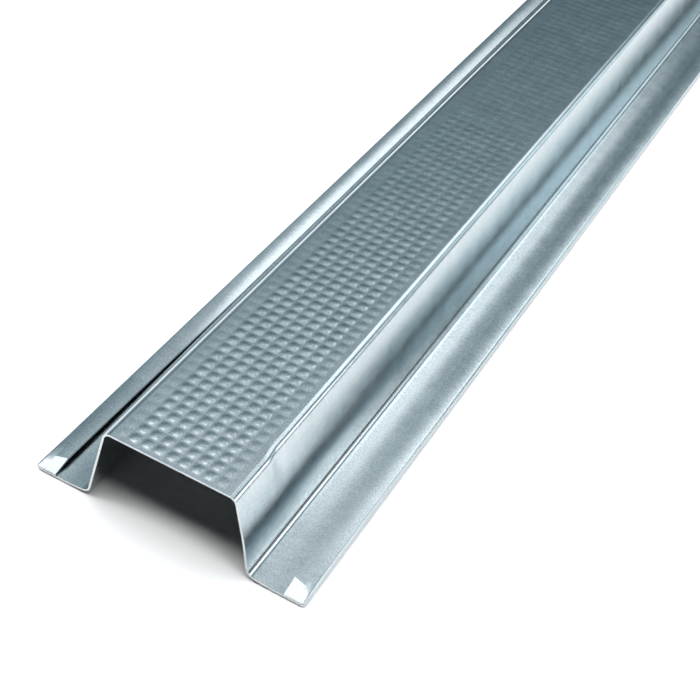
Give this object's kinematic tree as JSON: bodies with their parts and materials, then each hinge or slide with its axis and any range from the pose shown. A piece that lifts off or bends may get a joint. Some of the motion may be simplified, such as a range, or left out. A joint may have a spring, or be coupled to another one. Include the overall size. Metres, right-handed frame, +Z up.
{
  "type": "ceiling furring channel",
  "caption": "Long hat-section ceiling channel of thin galvanised steel: flat dotted web for board screws, sloping walls, and flanges with hemmed return lips.",
  "frame": {"origin": "on the floor under the middle of the channel: middle of the length, middle of the width, underside of the flanges", "axes": "+Y along the length, +X across the width, +Z up, out of the face of the web"},
  "size_m": [0.0682, 2.44, 0.0222],
  "materials": {
    "galvanised_steel": "hot-dip galvanised sheet, bright, with a fine spangle"
  },
  "bodies": {
    "root": {"furring_channel": "galvanised_steel"}
  },
  "joints": []
}
